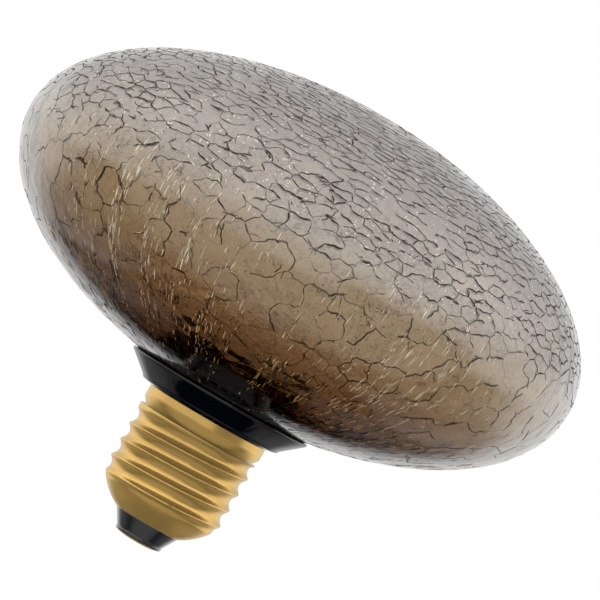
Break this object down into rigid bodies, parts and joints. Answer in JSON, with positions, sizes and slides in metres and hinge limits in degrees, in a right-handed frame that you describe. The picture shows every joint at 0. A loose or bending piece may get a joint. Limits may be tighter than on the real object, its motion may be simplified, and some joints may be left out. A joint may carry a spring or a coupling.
{
  "type": "crackle glass lamp",
  "caption": "Decorative LED lamp: a wide smoke-brown crackle-glass spheroid on a black collar, with a brass Edison screw cap.",
  "frame": {"origin": "centre of the flat tip of the centre contact", "axes": "+Z along the lamp's axis from the cap to the top of the glass; the driver board lies in the XZ plane"},
  "size_m": [0.124, 0.124, 0.0984],
  "materials": {
    "crackle_glass": "smoke brown, crackled all through, smooth and glossy outside",
    "silicone": "matte black",
    "black_moulding": "polished black",
    "clear_lens": "clear, warm tint",
    "turned_aluminium": "turned, satin",
    "white_board": "white solder resist",
    "diode_white": "white moulding",
    "amber_phosphor": "amber gel",
    "screw_steel": "plated",
    "green_board": "green solder resist",
    "capacitor_sleeve": "black shrink sleeve",
    "dipped_resin": "orange dipped resin",
    "ferrite": "sintered grey",
    "enamelled_copper": "enamelled copper wire",
    "package_black": "moulded epoxy",
    "resistor_sleeve": "green lacquer",
    "bare_copper": "bare copper wire",
    "red_insulation": "red insulation",
    "black_insulation": "black insulation",
    "cap_brass": "rolled sheet brass, satin",
    "black_glass": "opaque black glass, glossy"
  },
  "bodies": {
    "root": {"glass_envelope": "crackle_glass", "envelope_sealant": "silicone", "collar_housing": "black_moulding", "led_bezel": "black_moulding", "led_lens": "clear_lens", "heat_sink": "turned_aluminium", "led_board": "white_board", "leds": "diode_white", "led_phosphor": "amber_phosphor", "board_screws": "screw_steel", "driver_board": "green_board", "electrolytic_capacitor": "capacitor_sleeve", "film_capacitor": "dipped_resin", "inductor_core": "ferrite", "inductor_winding": "enamelled_copper", "bridge_rectifier": "package_black", "driver_chip": "package_black", "fusible_resistor": "resistor_sleeve", "live_wire": "bare_copper", "neutral_wire": "bare_copper", "led_wire_positive": "red_insulation", "led_wire_negative": "black_insulation", "cap_shell": "cap_brass", "cap_insulator": "black_glass", "centre_contact": "cap_brass"}
  },
  "joints": []
}
